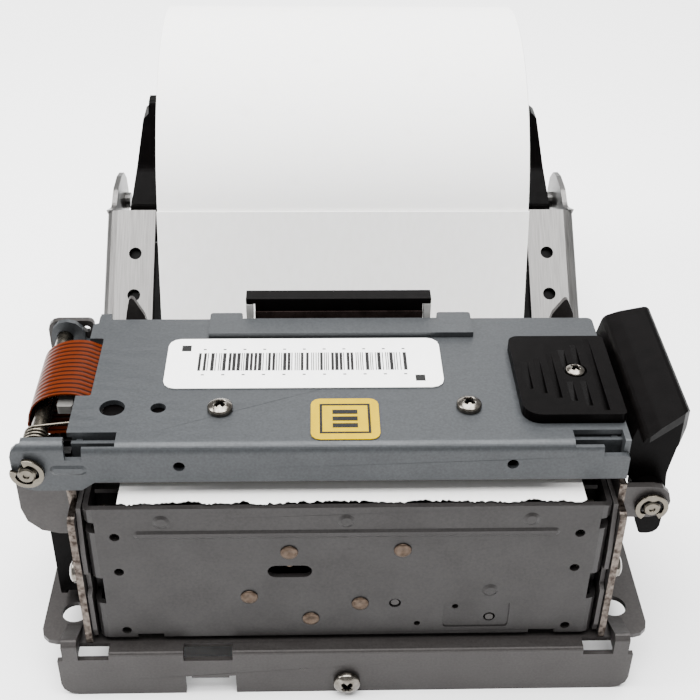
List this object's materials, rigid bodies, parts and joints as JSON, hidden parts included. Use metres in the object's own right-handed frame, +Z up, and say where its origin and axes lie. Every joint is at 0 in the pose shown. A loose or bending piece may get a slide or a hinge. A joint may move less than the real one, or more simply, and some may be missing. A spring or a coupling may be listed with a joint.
{
  "type": "receipt printer",
  "caption": "Open-frame kiosk printer that feeds paper from a rear roll over a platen, under a hinged print-head cover, to a front cutter; a side lever frees the cover.",
  "frame": {"origin": "middle of the tray's front flange, on its lower edge, where the printer stands", "axes": "+X to the right seen from the front, +Y to the back towards the paper roll, +Z up"},
  "size_m": [0.1154, 0.1615, 0.086],
  "materials": {
    "frame_steel": "zinc-plated sheet, dull",
    "arm_steel": "brushed sheet, bright",
    "cover_steel": "blue-grey satin",
    "bright_steel": "plated and polished",
    "copper": "dull copper",
    "brass": "satin",
    "motor_can": "drawn can",
    "aluminium": "extruded",
    "black_plastic": "fine-grained moulding",
    "gear_plastic": "acetal",
    "white_plastic": "satin",
    "rubber": "ground",
    "ceramic": "glazed substrate",
    "orange_film": "polyimide ribbon cable",
    "brown_film": "polyimide film",
    "white_label": "satin label stock",
    "yellow_label": "satin label stock",
    "paper": "coated thermal paper",
    "cardboard": "wound board"
  },
  "bodies": {
    "chassis": {"base_tray": "frame_steel", "tray_screw": "bright_steel", "side_frame_left": "frame_steel", "side_frame_right": "frame_steel", "rear_plate": "frame_steel", "side_screw_left": "bright_steel", "side_screw_right": "bright_steel", "cutter_plate": "frame_steel", "cutter_back": "frame_steel", "cutter_motor": "motor_can", "rivet_1": "copper", "rivet_2": "copper", "rivet_3": "copper", "rivet_4": "copper", "rivet_5": "copper", "feed_motor": "motor_can", "gear_cover": "black_plastic", "hinge_shaft": "bright_steel", "hinge_clip": "bright_steel", "flex_lower": "orange_film", "lever_pin": "bright_steel", "lever_clip": "bright_steel", "arm_left": "arm_steel", "arm_right": "arm_steel", "holder_left": "black_plastic", "holder_right": "black_plastic", "guide_rod": "bright_steel", "paper_web": "paper", "paper_end": "paper"},
    "cover": {"top_cover": "cover_steel", "rear_strip": "cover_steel", "white_label": "white_label", "yellow_label": "yellow_label", "latch_pad": "black_plastic", "cover_screw_left": "bright_steel", "cover_screw_right": "bright_steel", "latch_screw": "bright_steel", "head_carrier": "black_plastic", "heat_sink": "aluminium", "print_head": "ceramic", "fixed_blade": "bright_steel", "head_connector": "black_plastic", "head_film": "brown_film", "connector_clip_left": "white_plastic", "connector_clip_right": "white_plastic", "hinge_spring": "bright_steel", "flex_upper": "orange_film", "flex_clip": "white_plastic"},
    "lever": {"release_lever": "black_plastic"},
    "roll": {"paper_roll": "paper", "paper_core": "cardboard"},
    "platen": {"platen_roller": "rubber", "platen_shaft": "bright_steel", "platen_gear": "gear_plastic"},
    "idler": {"idler_gear": "gear_plastic"},
    "feed_drive": {"feed_pinion": "brass"},
    "crank": {"crank_gear": "gear_plastic"},
    "cutter_drive": {"cutter_pinion": "brass"},
    "blade": {"cutter_blade": "bright_steel"}
  },
  "joints": [
    {"name": "cover_hinge", "type": "hinge", "parent": "chassis", "child": "cover", "pos_m": [-0.0537, 0.025, 0.0502], "axis": [0, -1, 0], "range_deg": [0, 75]},
    {"name": "lever_pivot", "type": "hinge", "parent": "chassis", "child": "lever", "pos_m": [0.0526, 0.025, 0.0412], "axis": [0, 1, 0], "range_deg": [0, 18], "stiffness_Nm_per_rad": 0.03, "springref_deg": -5.73},
    {"name": "roll_spin", "type": "hinge", "parent": "chassis", "child": "roll", "pos_m": [0, 0.119, 0.046], "axis": [1, 0, 0], "continuous": true},
    {"name": "platen_spin", "type": "hinge", "parent": "chassis", "child": "platen", "pos_m": [0, 0.0235, 0.036], "axis": [1, 0, 0], "continuous": true},
    {"name": "idler_spin", "type": "hinge", "parent": "chassis", "child": "idler", "pos_m": [-0.05, 0.03228, 0.02335], "axis": [1, 0, 0], "continuous": true},
    {"name": "feed_drive_spin", "type": "hinge", "parent": "chassis", "child": "feed_drive", "pos_m": [-0.05, 0.0215, 0.0203], "axis": [1, 0, 0], "continuous": true},
    {"name": "crank_turn", "type": "hinge", "parent": "chassis", "child": "crank", "pos_m": [-0.0103, 0.0087, 0.0336], "axis": [0, 1, 0], "range_deg": [0, 180]},
    {"name": "cutter_drive_turn", "type": "hinge", "parent": "chassis", "child": "cutter_drive", "pos_m": [-0.01759, 0.0087, 0.02259], "axis": [0, 1, 0], "range_deg": [-316, 0]},
    {"name": "blade_slide", "type": "slide", "parent": "chassis", "child": "blade", "axis": [0, 0, 1], "range_m": [0, 0.0082], "deforming": ["paper_end"]}
  ],
  "couplings": [
    {"joint": "idler_spin", "follows": "platen_spin", "ratio": -1.2},
    {"joint": "feed_drive_spin", "follows": "platen_spin", "ratio": 2},
    {"joint": "crank_turn", "follows": "blade_slide", "rad_per_m": 383.12},
    {"joint": "cutter_drive_turn", "follows": "blade_slide", "rad_per_m": -670.46}
  ]
}
